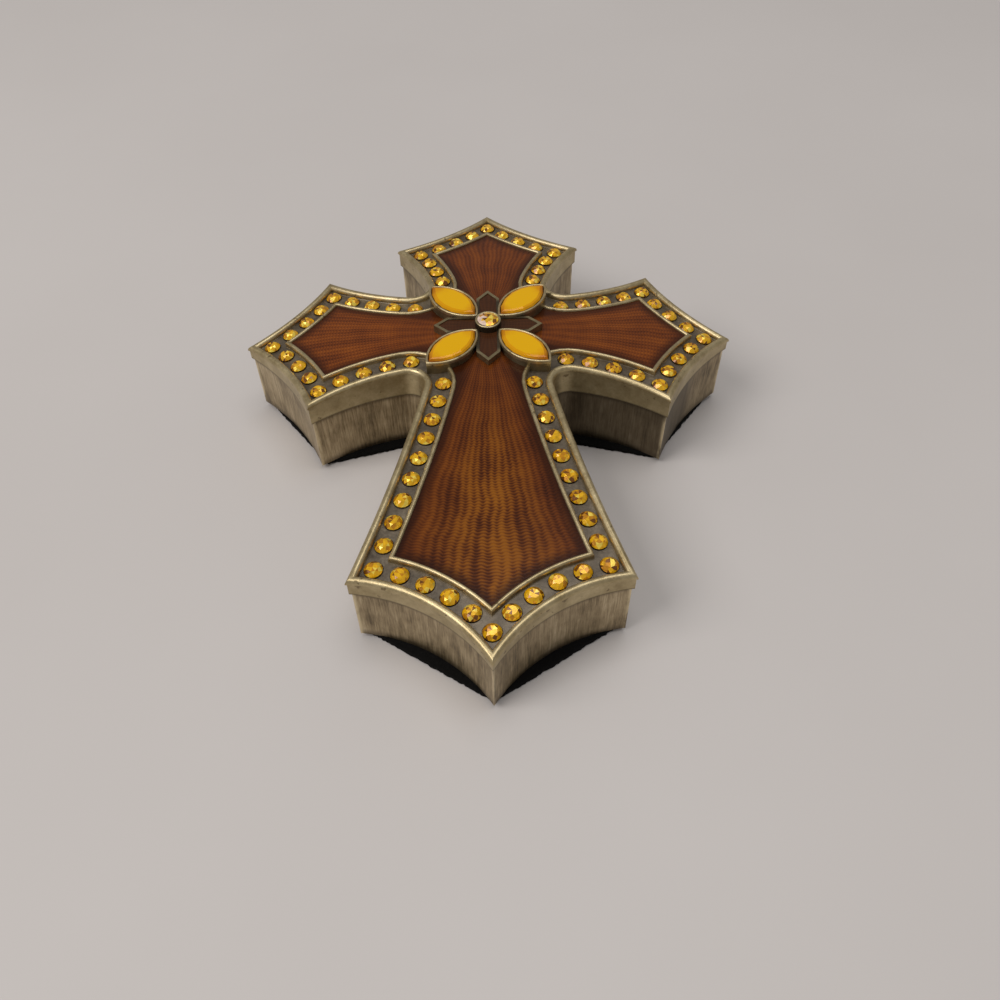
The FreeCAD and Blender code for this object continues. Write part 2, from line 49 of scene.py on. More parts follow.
# Driving sizes of the lid, in millimetres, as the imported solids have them
ARM, HEAD, FOOT = 36.8, 34.2, 56.1
ARM_FLARE, ARM_SETBACK = 14.9, 11.0
FOOT_FLARE, FOOT_SETBACK = 17.8, 11.3
WAIST, WAIST_FILLET = 8.5, 2.8
ARM_SIDE, ARM_END, FOOT_SIDE, FOOT_END = 32.0, 36.0, 220.0, 24.0
SEAM, LID_EDGE, CROWN = 10.0, 2.3, 2.9
RIM, CHANNEL, WIRE = 0.95, 2.9, 0.55
CHANNEL_DROP, FIELD_DROP, UNDER_DROP = 0.9, 1.1, 2.3
LIP_EDGE, LIP_WALL, LIP_DEPTH = 2.2, 1.0, 2.0
CROWN_MIDDLE = (HEAD - FOOT) / 2
LONG_RADIUS = (((HEAD + FOOT) / 2) ** 2 + CROWN ** 2) / (2 * CROWN)
ARM_FALL = CROWN - CROWN_MIDDLE ** 2 / (2 * LONG_RADIUS)
CROSS_RADIUS = (ARM ** 2 + ARM_FALL ** 2) / (2 * ARM_FALL)
CROWN_TOP = SEAM + LID_EDGE + CROWN


def crown(x, y, drop=0.0):
    """Height of the domed lid over a place on plan, let down by a drop."""
    swing = LONG_RADIUS - CROSS_RADIUS + math.sqrt(CROSS_RADIUS ** 2 - x ** 2)
    return CROWN_TOP - LONG_RADIUS + math.sqrt(swing ** 2 - (y - CROWN_MIDDLE) ** 2) - drop


def crown_normal(x, y):
    step = 0.05
    slope_x = (crown(x + step, y) - crown(x - step, y)) / (2 * step)
    slope_y = (crown(x, y + step) - crown(x, y - step)) / (2 * step)
    return Vector((-slope_x, -slope_y, 1)).normalized()


# Outline of the cross: concave arcs, worked out for any inset from the rim

def flat(x, y):
    return Vector((x, y))


RIGHT = [flat(FOOT_FLARE, FOOT_SETBACK - FOOT), flat(WAIST, -WAIST),
         flat(ARM - ARM_SETBACK, -ARM_FLARE), flat(ARM, 0), flat(ARM - ARM_SETBACK, ARM_FLARE),
         flat(WAIST, WAIST), flat(ARM_FLARE, HEAD - ARM_SETBACK)]
CORNERS = [flat(0, -FOOT)] + RIGHT + [flat(0, HEAD)] + [flat(-p.x, p.y) for p in reversed(RIGHT)]
HALF_RADII = [FOOT_END, FOOT_SIDE, ARM_SIDE, ARM_END, ARM_END, ARM_SIDE, ARM_SIDE, ARM_END]
RADII = HALF_RADII + HALF_RADII[::-1]
WAISTS = (2, 6, 10, 14)
EDGE_STEPS, FILLET_STEPS = 26, 10


def arc_centre(start, finish, radius):
    chord = finish - start
    right = Vector((chord.y, -chord.x)).normalized()
    return (start + finish) / 2 + right * math.sqrt(radius ** 2 - chord.length_squared / 4)


def circles_meet(centre, radius, other, other_radius, near):
    apart = (other - centre).length
    way = (other - centre) / apart
    along = (apart ** 2 + radius ** 2 - other_radius ** 2) / (2 * apart)
    side = Vector((-way.y, way.x)) * math.sqrt(radius ** 2 - along ** 2)
    crossings = (centre + way * along + side, centre + way * along - side)
    return min(crossings, key=lambda crossing: (crossing - near).length)


CENTRES = [arc_centre(a, b, r) for a, b, r in zip(CORNERS, CORNERS[1:] + CORNERS[:1], RADII)]
FILLETS = {i: circles_meet(CENTRES[i - 1], RADII[i - 1] - WAIST_FILLET, CENTRES[i],
                           RADII[i] - WAIST_FILLET, CORNERS[i]) for i in WAISTS}


def arc_points(centre, start, finish, steps):
    """Places from a start up to, but without, a finish on an arc of under half a turn."""
    low = math.atan2(start.y - centre.y, start.x - centre.x)
    turn = math.atan2(finish.y - centre.y, finish.x - centre.x) - low
    turn = (turn + math.pi) % (2 * math.pi) - math.pi
    radius = (start - centre).length
    return [centre + radius * flat(math.cos(low + turn * k / steps), math.sin(low + turn * k / steps))
            for k in range(steps)]


def outline(inset):
    """The outline drawn in by an inset, always with the same number of places."""
    radii = [radius + inset for radius in RADII]
    ends = {}
    for i, corner in enumerate(CORNERS):
        if i in FILLETS:
            fillet = FILLETS[i]
            enter = CENTRES[i - 1] + (fillet - CENTRES[i - 1]).normalized() * radii[i - 1]
            leave = CENTRES[i] + (fillet - CENTRES[i]).normalized() * radii[i]
            ends[i] = (enter, leave)
        else:
            meet = circles_meet(CENTRES[i - 1], radii[i - 1], CENTRES[i], radii[i], corner)
            ends[i] = (meet, meet)
    places = []
    for i in range(len(CORNERS)):
        enter, leave = ends[i]
        if i in FILLETS:
            places += arc_points(FILLETS[i], enter, leave, FILLET_STEPS)
        places += arc_points(CENTRES[i], leave, ends[(i + 1) % len(CORNERS)][0], EDGE_STEPS)
    return places


# Mesh helpers

CAST_ANGLE, FACET_ANGLE, BEZEL_ANGLE, FELT_ANGLE = 35, 1, 50, 60
CAP_SCALES = (0.8, 0.6, 0.4, 0.2)


def new_piece(name, body, materials, mesh, replaced=()):
    piece = bpy.data.objects.new(name, mesh)
    bpy.context.scene.collection.objects.link(piece)
    for material in materials:
        mesh.materials.append(material)
    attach(piece, body)
    if replaced:
        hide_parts(*replaced)
    return piece


def shade(mesh, degrees):
    """Smooth shading that stays crisp along edges sharper than an angle."""
    mesh.polygons.foreach_set("use_smooth", [True] * len(mesh.polygons))
    mesh.set_sharp_from_angle(angle=math.radians(degrees))


def finish_mesh(name, shape, degrees=CAST_ANGLE):
    bmesh.ops.recalc_face_normals(shape, faces=shape.faces)
    mesh = bpy.data.meshes.new(name)
    shape.to_mesh(mesh)
    shape.free()
    mesh.transform(Matrix.Scale(MM, 4))
    shade(mesh, degrees)
    return mesh


def bridge(shape, ring, following, tone=0):
    """Four-sided faces between two rings of equally many vertices."""
    for k in range(len(ring)):
        after = (k + 1) % len(ring)
        face = shape.faces.new((ring[k], ring[after], following[after], following[k]))
        face.material_index = tone


def on_crown(inset, drop):
    """A place in a swept section, let down from the crown."""
    return inset, lambda p: crown(p.x, p.y, drop)


def at_level(inset, level):
    """A place in a swept section at a fixed height."""
    return inset, lambda p: level


def sweep(shape, section):
    """Rings of vertices round the outline, one for each place of a section."""
    rings = []
    for inset, height in section:
        rings.append([shape.verts.new((p.x, p.y, height(p))) for p in outline(inset)])
    for ring, following in zip(rings, rings[1:]):
        bridge(shape, ring, following)
    return rings


def cap(shape, ring, height):
    """Closes a ring with smaller copies of it down to a point; all of the cross is seen from its middle."""
    edge = [(vert.co.x, vert.co.y) for vert in ring]
    for scale in CAP_SCALES:
        following = [shape.verts.new((x * scale, y * scale, height(x * scale, y * scale))) for x, y in edge]
        bridge(shape, ring, following)
        ring = following
    middle = shape.verts.new((0, 0, height(0, 0)))
    for k in range(len(ring)):
        shape.faces.new((ring[k], ring[(k + 1) % len(ring)], middle))


def vesica(start, length, width, steps):
    """A marquise outline along +X from a start, as places anticlockwise from its outer point."""
    half, bulge = length / 2, width / 2
    radius = (half ** 2 + bulge ** 2) / (2 * bulge)
    lean = math.asin(half / radius)
    places = []
    for side in (1, -1):
        for k in range(steps):
            angle = side * (math.pi / 2) - lean + 2 * lean * k / steps
            places.append(flat(start + half + radius * math.cos(angle),
                               side * (bulge - radius) + radius * math.sin(angle)))
    return places


def turned(place, degrees):
    angle = math.radians(degrees)
    return flat(place.x * math.cos(angle) - place.y * math.sin(angle),
                place.x * math.sin(angle) + place.y * math.cos(angle))


# Node helpers for the materials

class Nodes:
    def __init__(self, name):
        self.material = bpy.data.materials.new(name)
        self.material.use_nodes = True
        self.tree = self.material.node_tree
        self.shader = self.tree.nodes["Principled BSDF"]

    def add(self, kind, **values):
        """A node with some of its settings or, by their names with underscores, its inputs."""
        node = self.tree.nodes.new(kind)
        for key, value in values.items():
            if hasattr(node, key):
                setattr(node, key, value)
            else:
                node.inputs[key.replace("_", " ")].default_value = value
        return node

    def link(self, source, target):
        self.tree.links.new(source, target)

    def feed(self, socket, value):
        """A number, a colour or another node's output into a socket."""
        if isinstance(value, (int, float)):
            socket.default_value = value
        elif isinstance(value, tuple):
            socket.default_value = (*value, 1)
        else:
            self.link(value, socket)

    def math(self, operation, first, second=None, clamp=False):
        node = self.add("ShaderNodeMath", operation=operation, use_clamp=clamp)
        self.feed(node.inputs[0], first)
        if second is not None:
            self.feed(node.inputs[1], second)
        return node.outputs[0]

    def weighted(self, *parts):
        """The sum of some values, each times its weight."""
        total = None
        for value, weight in parts:
            part = self.math("MULTIPLY", value, weight)
            total = part if total is None else self.math("ADD", total, part)
        return total

    def place(self):
        return self.add("ShaderNodeTexCoord").outputs["Object"]

    def split(self, vector):
        node = self.add("ShaderNodeSeparateXYZ")
        self.link(vector, node.inputs[0])
        return tuple(node.outputs)

    def reach(self, x, y):
        """Distance on plan from the middle of the crossing."""
        return self.math("SQRT", self.math("ADD", self.math("MULTIPLY", x, x), self.math("MULTIPLY", y, y)))

    def nearest(self, x, y, circles):
        """Least distance on plan outside some circles, as centres and radii, and their mirror images."""
        folded = self.add("ShaderNodeCombineXYZ")
        self.link(self.math("ABSOLUTE", x), folded.inputs[0])
        self.link(y, folded.inputs[1])
        least = None
        for centre, radius in circles:
            away = self.add("ShaderNodeVectorMath", operation="DISTANCE")
            self.link(folded.outputs[0], away.inputs[0])
            away.inputs[1].default_value = (centre.x * MM, centre.y * MM, 0)
            gap = self.math("SUBTRACT", away.outputs["Value"], radius * MM)
            least = gap if least is None else self.math("MINIMUM", least, gap)
        return least

    def scaled(self, vector, x, y, z):
        node = self.add("ShaderNodeMapping", Scale=(x, y, z))
        self.link(vector, node.inputs["Vector"])
        return node.outputs[0]

    def noise(self, vector, scale, detail=4, roughness=0.55, distortion=0.0):
        node = self.add("ShaderNodeTexNoise", Scale=scale, Detail=detail, Roughness=roughness,
                        Distortion=distortion)
        self.link(vector, node.inputs["Vector"])
        return node.outputs["Fac"]

    def ramp(self, factor, stops):
        node = self.add("ShaderNodeValToRGB")
        elements = node.color_ramp.elements
        while len(elements) < len(stops):
            elements.new(0.5)
        for element, (position, colour) in zip(elements, stops):
            element.position = position
            element.color = (*colour, 1)
        self.link(factor, node.inputs["Fac"])
        return node.outputs["Color"]

    def mix(self, factor, first, second):
        node = self.add("ShaderNodeMix", data_type="RGBA")
        for k, value in ((0, factor), (6, first), (7, second)):
            self.feed(node.inputs[k], value)
        return node.outputs[2]

    def smooth(self, value, low, high):
        """Rises from nought to one between two limits."""
        node = self.add("ShaderNodeMapRange", interpolation_type="SMOOTHSTEP", From_Min=low, From_Max=high)
        self.link(value, node.inputs["Value"])
        return node.outputs["Result"]

    def fade(self, value, low, high):
        """Falls from one to nought between two limits."""
        return self.math("SUBTRACT", 1.0, self.smooth(value, low, high))

    def bump(self, height, strength, distance):
        node = self.add("ShaderNodeBump", Strength=strength, Distance=distance)
        self.link(height, node.inputs["Height"])
        return node.outputs["Normal"]

    def set(self, **values):
        for key, value in values.items():
            self.feed(self.shader.inputs[key.replace("_", " ")], value)
        return self.material


def dimmed(colour, level):
    return tuple(c * level for c in colour)


# Colours of the finishes, each ramp as stops from its low end to its high end
# The darkest brass colour here is painted shadow along the lid's bottom edge, where it meets the base.
SEAM_SHADOW_BRASS, CHIP_BROWN, SHADED_BRASS = (0.060, 0.043, 0.022), (0.14, 0.095, 0.045), (0.05, 0.036, 0.024)
BRASS_STOPS = [(0.32, (0.33, 0.255, 0.13)), (0.48, (0.44, 0.35, 0.195)), (0.66, (0.56, 0.46, 0.27))]
GRIME_STOPS = [(0.30, (0.060, 0.046, 0.032)), (0.52, (0.130, 0.104, 0.074)), (0.75, (0.25, 0.205, 0.145))]
WALL_STOPS = [(0.37, (0.13, 0.096, 0.054)), (0.46, (0.29, 0.220, 0.126)),
              (0.54, (0.45, 0.352, 0.215)), (0.65, (0.66, 0.55, 0.37))]
# The wall's edge colour is partly painted shadow along the seam, its hollow colour is painted shade, and its
# worn colour is wear with a painted highlight.
WALL_EDGE_AND_SEAM_SHADOW, WALL_PAINTED_SHADE, WALL_WORN_HIGHLIGHT = (0.075, 0.052, 0.028), (0.06, 0.045, 0.03), (0.74, 0.62, 0.40)
FELT_STOPS = [(0.3, (0.002, 0.002, 0.002)), (0.6, (0.008, 0.0075, 0.007)), (0.8, (0.024, 0.022, 0.021))]
FLOOR_STOPS = [(0.3, (0.520, 0.488, 0.472)), (0.7, (0.550, 0.518, 0.502))]
BRUSH_BUMP, WEAVE_BUMP, FELT_BUMP = 0.00006, 0.00008, 0.0003
OUTER_CORNERS = [CORNERS[k] for k in range(9) if k not in WAISTS]


def lid_brass(name, level):
    """Antique brass: pale where it is rubbed, dark where it faces up from a recess, with painted shadow where
    it meets the base.
    """
    n = Nodes(name)
    place = n.place()
    x, y, z = n.split(place)
    across = n.math("MULTIPLY", n.math("MULTIPLY", x, x), 1 / (2 * CROSS_RADIUS * MM))
    along = n.math("SUBTRACT", y, CROWN_MIDDLE * MM)
    along = n.math("MULTIPLY", n.math("MULTIPLY", along, along), 1 / (2 * LONG_RADIUS * MM))
    top = n.math("SUBTRACT", n.math("SUBTRACT", CROWN_TOP * MM, across), along)
    depth = n.math("SUBTRACT", top, z)
    normal_z = n.split(n.add("ShaderNodeNewGeometry").outputs["True Normal"])[2]
    recess = n.math("MULTIPLY", n.smooth(depth, 0.3 * MM, 0.8 * MM), n.smooth(normal_z, 0.3, 0.8))
    # Painted shadow along the bottom of the lid, where it meets the base.
    seam_shadow = n.fade(z, (SEAM + 0.02) * MM, (SEAM + 0.4) * MM)
    patches = n.noise(place, 420, 5)
    fine = n.noise(place, 2600, 3)
    chips = n.smooth(n.noise(place, 950, 2), 0.66, 0.72)
    tone = n.weighted((patches, 0.7), (fine, 0.3))
    metal = n.ramp(tone, [(at, dimmed(colour, level)) for at, colour in BRASS_STOPS])
    metal = n.mix(n.math("MULTIPLY", chips, 0.7), metal, CHIP_BROWN)
    metal = n.mix(n.math("MULTIPLY", seam_shadow, 0.8), metal, SEAM_SHADOW_BRASS)
    if level < 1:
        near = n.fade(n.reach(x, y), 5.4 * MM, 6.6 * MM)
        metal = n.mix(n.math("MULTIPLY", near, 0.85), metal, SHADED_BRASS)
    n.set(Base_Color=n.mix(recess, metal, n.ramp(tone, GRIME_STOPS)))
    n.set(Metallic=n.math("SUBTRACT", 0.88, n.math("MULTIPLY", recess, 0.4)))
    n.set(Roughness=n.math("ADD", n.math("MULTIPLY", fine, 0.25), 0.26))
    return n.set(Normal=n.bump(n.math("ADD", fine, n.noise(place, 900, 3)), 0.25, BRUSH_BUMP))


def wall_brass():
    """Antique brass with upright brush marks, darker along its foot, with painted shadow along its top under
    the seam, painted shade by the right arm's front, and wear with a painted highlight at the outer corners.
    """
    n = Nodes("wall_brass")
    place = n.place()
    x, y, z = n.split(place)
    brush = n.noise(n.scaled(place, 1, 1, 0.06), 4200, 5, 0.7)
    broad = n.noise(n.scaled(place, 1, 1, 0.3), 700, 4, 0.6)
    patches = n.noise(place, 160, 4)
    metal = n.ramp(n.weighted((brush, 0.45), (broad, 0.3), (patches, 0.25)), WALL_STOPS)
    # Darker towards the bottom of the wall, and painted shadow along its top just under the seam with the
    # lid, both broken up by cloudy noise.
    low = n.fade(z, 0.8 * MM, 2.2 * MM)
    high = n.smooth(z, (SEAM - 0.9) * MM, (SEAM - 0.05) * MM)
    cloudy = n.math("ADD", n.math("MULTIPLY", broad, 0.8), 0.25)
    edge = n.math("MULTIPLY", n.math("MAXIMUM", low, high), cloudy, True)
    metal = n.mix(edge, metal, WALL_EDGE_AND_SEAM_SHADOW)
    # Painted shade on the front wall of the right arm.
    right_arm_shade = n.math("MULTIPLY", n.smooth(x, 6.5 * MM, 9.0 * MM), n.smooth(y, -24 * MM, -17 * MM))
    right_arm_shade = n.math("MULTIPLY", right_arm_shade, n.fade(y, -7 * MM, -4 * MM))
    metal = n.mix(n.math("MULTIPLY", right_arm_shade, 0.7), metal, WALL_PAINTED_SHADE)
    # Wear with a painted highlight: paler brass at the outer upright corners, in rubbed patches.
    corner_gap = n.nearest(x, y, [(corner, 0.0) for corner in OUTER_CORNERS])
    rubbed = n.smooth(n.weighted((broad, 1.0), (patches, 0.4)), 0.5, 0.8)
    worn_highlight = n.math("MULTIPLY", n.fade(corner_gap, 0.45 * MM, 0.95 * MM), rubbed)
    n.set(Base_Color=n.mix(worn_highlight, metal, WALL_WORN_HIGHLIGHT), Metallic=0.82)
    n.set(Roughness=n.math("ADD", n.math("MULTIPLY", brush, 0.3), 0.3))
    return n.set(Normal=n.bump(brush, 0.3, BRUSH_BUMP))


FINE_RAYS, BROAD_RAYS, RIPPLES = 190.0, 47.0, 13500.0


def enamel(name, edges, dark, mid, bright, sheen_colour):
    """Brown enamel over fine rippled rays that run out from the crossing, darker along some edges, with a
    painted sheen streak down the middle of the foot.
    """
    n = Nodes(name)
    place = n.place()
    x, y = n.split(place)[:2]
    radius = n.reach(x, y)
    angle = n.math("ARCTAN2", x, n.math("MULTIPLY", y, -1.0))
    wobble = n.math("MULTIPLY", n.math("SUBTRACT", n.noise(place, 160, 3), 0.5), 0.07)
    spun = n.math("ADD", angle, wobble)
    rays = n.math("SINE", n.math("MULTIPLY", spun, FINE_RAYS))
    broad = n.math("SINE", n.math("MULTIPLY", spun, BROAD_RAYS))
    drift = n.math("MULTIPLY", n.noise(place, 300, 2), 9.0)
    rings = n.math("SINE", n.math("ADD", n.weighted((radius, RIPPLES), (rays, 1.5)), drift))
    cloud = n.math("SUBTRACT", n.noise(place, 230, 4), 0.5)
    weave = n.weighted((rays, 0.24), (rings, 0.25), (broad, 0.17))
    woven = n.math("ADD", n.math("MULTIPLY", weave, 0.42), 0.5)
    tone = n.math("ADD", woven, n.math("MULTIPLY", cloud, 0.55), True)
    ground = n.ramp(tone, [(0.16, dark), (0.5, mid), (0.86, bright)])
    # Painted sheen: a bright golden streak along the middle of the foot.
    lean = n.math("ABSOLUTE", n.math("DIVIDE", x, n.math("ADD", radius, 0.0001)))
    sheen_streak = n.math("MULTIPLY", n.fade(lean, 0.01, 0.27), n.fade(y, -34 * MM, -10 * MM))
    painted_sheen = n.math("MULTIPLY", sheen_streak, n.smooth(tone, 0.30, 0.80))
    colour = n.mix(n.math("MULTIPLY", painted_sheen, 0.85), ground, sheen_colour)
    if edges:
        inset = n.nearest(x, y, [(CENTRES[edge], RADII[edge]) for edge in edges])
        # Darker near the given outer edges of the panel.
        darker_edges = n.fade(inset, 4.5 * MM, 6.4 * MM)
        colour = n.mix(n.math("MULTIPLY", darker_edges, 0.85), colour, dimmed(dark, 0.6))
    n.set(Base_Color=colour, Roughness=0.3, Coat_Weight=0.12, Coat_Roughness=0.07, Specular_IOR_Level=0.1)
    return n.set(Normal=n.bump(weave, 0.10, WEAVE_BUMP))


def sparkle_facet(name, tint):
    """One tone of a foiled glass facet, for painted sparkle: bright and flash tones are painted glints, the
    dark tone painted dark reflections.
    """
    n = Nodes(name)
    cloud = n.noise(n.place(), 1700, 2)
    colour = n.ramp(cloud, [(0.35, dimmed(tint, 0.72)), (0.62, tint)])
    return n.set(Base_Color=colour, Metallic=0.3, Roughness=0.14, Coat_Weight=0.3, Coat_Roughness=0.03)


MARQUISE_MIDDLE = 7.3


def marquise_amber(name, yellow, tip):
    """Flat amber glass, yellow in the middle and orange-brown towards both points."""
    n = Nodes(name)
    place = n.place()
    x, y = n.split(place)[:2]
    far = n.math("ABSOLUTE", n.math("SUBTRACT", n.reach(x, y), MARQUISE_MIDDLE * MM))
    stray = n.math("MULTIPLY", n.math("SUBTRACT", n.noise(place, 500, 3), 0.5), 3.0 * MM)
    ends = n.smooth(n.math("ADD", far, stray), 2.2 * MM, 5.2 * MM)
    return n.set(Base_Color=n.mix(ends, yellow, tip), Metallic=0.1, Roughness=0.16, Coat_Weight=0.25,
                 Coat_Roughness=0.03, Specular_IOR_Level=0.1)


def felt_black():
    n = Nodes("felt_black")
    fibre = n.noise(n.place(), 5200, 5, 0.7, 1.2)
    n.set(Base_Color=n.ramp(fibre, FELT_STOPS), Roughness=0.95, Specular_IOR_Level=0.1)
    return n.set(Normal=n.bump(fibre, 0.8, FELT_BUMP))


LID_BRASS, ORNAMENT_BRASS = lid_brass("lid_brass", 1.0), lid_brass("ornament_brass", 0.62)
WALL_BRASS = wall_brass()
# The fourth tone of each enamel is the colour of its painted sheen.
BROWN_TONES = [(0.075, 0.016, 0.004), (0.222, 0.052, 0.008), (0.40, 0.108, 0.012), (0.60, 0.205, 0.014)]
DARK_TONES = [(0.024, 0.009, 0.004), (0.050, 0.017, 0.006), (0.076, 0.026, 0.008), (0.076, 0.026, 0.008)]
ARM_EDGES = (2, 3, 4, 5)
LIMBS = {"foot": ((0, 1), 0.44), "left_arm": (ARM_EDGES, 0.64),
         "right_arm": (ARM_EDGES, 0.60), "head": ((6, 7), 0.54)}
DARK_PANEL = enamel("dark_enamel", (), *DARK_TONES)
# Facet tones for painted sparkle: bright and flash tones are painted glints, the dark tone painted dark
# reflections.
FACETS = [sparkle_facet("amber_bright", (0.92, 0.50, 0.006)), sparkle_facet("amber_mid", (0.62, 0.26, 0.004)),
          sparkle_facet("amber_dark", (0.20, 0.065, 0.003)), sparkle_facet("amber_flash", (1.0, 0.74, 0.10)),
          sparkle_facet("rose_flash", (0.95, 0.70, 0.56))]
MARQUISE_TOP = marquise_amber("marquise_top", (0.76, 0.41, 0.001), (0.56, 0.19, 0.002))
# Painted shade: the marquise's sloping sides and keel take a darker copy of the top's amber.
MARQUISE_SIDE_SHADED = marquise_amber("marquise_side_shaded", (0.66, 0.30, 0.001), (0.36, 0.10, 0.002))
FELT = felt_black()


# Stones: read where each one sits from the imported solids

def loose_centres(node):
    """Middles of the separate solids in a CAD node, in millimetres on plan, in an order that never varies."""
    shape = bmesh.new()
    shape.from_mesh(nodes[node].data)
    bmesh.ops.remove_doubles(shape, verts=shape.verts, dist=0.002 * MM)
    left = set(shape.verts)
    middles = []
    while left:
        group, edge = set(), [left.pop()]
        while edge:
            vert = edge.pop()
            group.add(vert)
            for link in vert.link_edges:
                other = link.other_vert(vert)
                if other in left:
                    left.discard(other)
                    edge.append(other)
        middles.append((math.fsum(vert.co.x for vert in group) / len(group) / MM,
                        math.fsum(vert.co.y for vert in group) / len(group) / MM))
    shape.free()
    return sorted(middles, key=lambda middle: (round(middle[0], 2), round(middle[1], 2)))


# Radii of a brilliant's rings as shares of its width, and the level of its star as a share of its crown
TABLE_SHARE, STAR_SHARE, GIRDLE_SHARE, FOOT_SHARE, STAR_RISE = 0.27, 0.385, 0.5, 0.3, 0.62
SIDES = 8


def brilliant(shape, across, seat, girdle, proud, spin, matrix, tones):
    """A round brilliant: split table, star, kite and girdle facets over a cone, each with its own tone."""
    def ring(count, share, level, shift):
        verts = []
        for k in range(count):
            angle = 2 * math.pi * (k + shift) / count + spin
            place = Vector((across * share * math.cos(angle), across * share * math.sin(angle), level))
            verts.append(shape.verts.new(matrix @ place))
        return verts
    middle = shape.verts.new(matrix @ Vector((0, 0, proud)))
    table = ring(SIDES, TABLE_SHARE, proud, 0.0)
    star = ring(SIDES, STAR_SHARE, girdle + (proud - girdle) * STAR_RISE, 0.5)
    top = ring(2 * SIDES, GIRDLE_SHARE, girdle, 0.0)
    foot = ring(2 * SIDES, FOOT_SHARE, -seat, 0.0)
    outlines = []
    for k in range(SIDES):
        after, before = (k + 1) % SIDES, k - 1
        outlines.append((middle, table[k], table[after]))
        outlines.append((table[k], star[k], table[after]))
        outlines.append((table[k], star[before], top[2 * k], star[k]))
        outlines.append((star[k], top[2 * k], top[2 * k + 1]))
        outlines.append((star[k], top[2 * k + 1], top[2 * after]))
    for k in range(2 * SIDES):
        after = (k + 1) % (2 * SIDES)
        outlines.append((top[k], foot[k], foot[after], top[after]))
    outlines.append(tuple(reversed(foot)))
    for corners in outlines:
        face = shape.faces.new(corners)
        face.material_index = tones(face.calc_center_median() - middle.co)


AMBERS, ROSE_GLINT = (0, 1, 2, 3), 4
LIT_SIDE_WEIGHTS, SHADED_SIDE_WEIGHTS = (58, 20, 6, 16), (34, 36, 24, 6)


def amber_tone(offset):
    """A tone for a facet of a row stone: painted sparkle, brighter towards the right and the front, with a
    few painted glints.
    """
    towards = offset.x - 0.6 * offset.y
    return random.choices(AMBERS, LIT_SIDE_WEIGHTS if towards > 0.05 else SHADED_SIDE_WEIGHTS)[0]


def centre_tone(offset):
    """A tone for a facet of the middle stone, with painted rosy glints towards the left."""
    rose_glint_chance = 0.75 if offset.x < -0.2 else 0.05
    return ROSE_GLINT if random.random() < rose_glint_chance else amber_tone(offset)


STONE, STONE_SEAT, STONE_GIRDLE, STONE_PROUD, SEAT_GAP, MOST_SPIN = 2.4, 0.5, 0.2, 0.75, 0.08, 0.8
ROWS = sorted(name for name in nodes if name.endswith("_stones"))
stone_matrices = []
for row in ROWS:
    shape = bmesh.new()
    for x, y in loose_centres(row):
        turn = crown_normal(x, y).to_track_quat("Z", "Y").to_matrix().to_4x4()
        matrix = Matrix.Translation((x, y, crown(x, y, CHANNEL_DROP))) @ turn
        stone_matrices.append(matrix)
        spin = random.uniform(0, MOST_SPIN)
        brilliant(shape, STONE, STONE_SEAT, STONE_GIRDLE, STONE_PROUD, spin, matrix, amber_tone)
    mesh = finish_mesh(row + "_cut", shape, FACET_ANGLE)
    new_piece(row + "_cut", "lid", FACETS, mesh, [row])

# Lid casting: one section swept round the outline and closed by two caps, with drilled seats

BEAD_OUT, BEAD_SINK, BEAD_STEPS, BEAD_NECK = 0.17, 0.66, 12, 0.1
WIRE_SINK, WIRE_STEPS = 0.36, 8
RIM_SPREAD, WIRE_SPREAD, FIELD_EDGE = 0.03, 0.04, 0.15
EASE, SEAM_EASE, RIM_EASE, LIP_EASE = 0.06, 0.08, 0.05, 0.1
WELD, SEAT_SIDES = 0.001, 28


def round_top(inner, outer, sink, steps):
    """Half-round ridge up to the crown between two insets, as section places from the first to the second."""
    middle, half = (inner + outer) / 2, (outer - inner) / 2
    angles = [math.pi * k / steps for k in range(steps + 1)]
    return [on_crown(middle - half * math.cos(angle), sink - sink * math.sin(angle)) for angle in angles]


def lid_section():
    bead_in = RIM + RIM_SPREAD
    wire_out, wire_in = RIM + CHANNEL - WIRE_SPREAD, RIM + CHANNEL + WIRE + WIRE_SPREAD
    edge = [at_level(LIP_EDGE, SEAM), at_level(EASE, SEAM), at_level(0.0, SEAM + SEAM_EASE),
            on_crown(0.0, BEAD_SINK + 2 * BEAD_NECK), on_crown(-BEAD_OUT + EASE, BEAD_SINK + BEAD_NECK)]
    channel = [on_crown(bead_in, CHANNEL_DROP - RIM_EASE), on_crown(bead_in + EASE, CHANNEL_DROP),
               on_crown(wire_out - EASE, CHANNEL_DROP), on_crown(wire_out, CHANNEL_DROP - EASE)]
    field = [on_crown(wire_in, FIELD_DROP), on_crown(RIM + CHANNEL + WIRE + FIELD_EDGE, FIELD_DROP)]
    bead = round_top(-BEAD_OUT, bead_in, BEAD_SINK, BEAD_STEPS)
    return edge + bead + channel + round_top(wire_out, wire_in, WIRE_SINK, WIRE_STEPS) + field


def lid_mesh():
    shape = bmesh.new()
    rings = sweep(shape, lid_section())
    lip_inner, lip_foot = LIP_EDGE + LIP_WALL, SEAM - LIP_DEPTH
    under = sweep(shape, [at_level(LIP_EDGE, SEAM), at_level(LIP_EDGE, lip_foot + LIP_EASE),
                          at_level(LIP_EDGE + LIP_EASE, lip_foot), at_level(lip_inner - LIP_EASE, lip_foot),
                          at_level(lip_inner, lip_foot + LIP_EASE), on_crown(lip_inner, UNDER_DROP)])
    cap(shape, rings[-1], lambda x, y: crown(x, y, FIELD_DROP))
    cap(shape, under[-1], lambda x, y: crown(x, y, UNDER_DROP))
    bmesh.ops.remove_doubles(shape, verts=shape.verts, dist=WELD)
    return finish_mesh("lid_casting", shape)


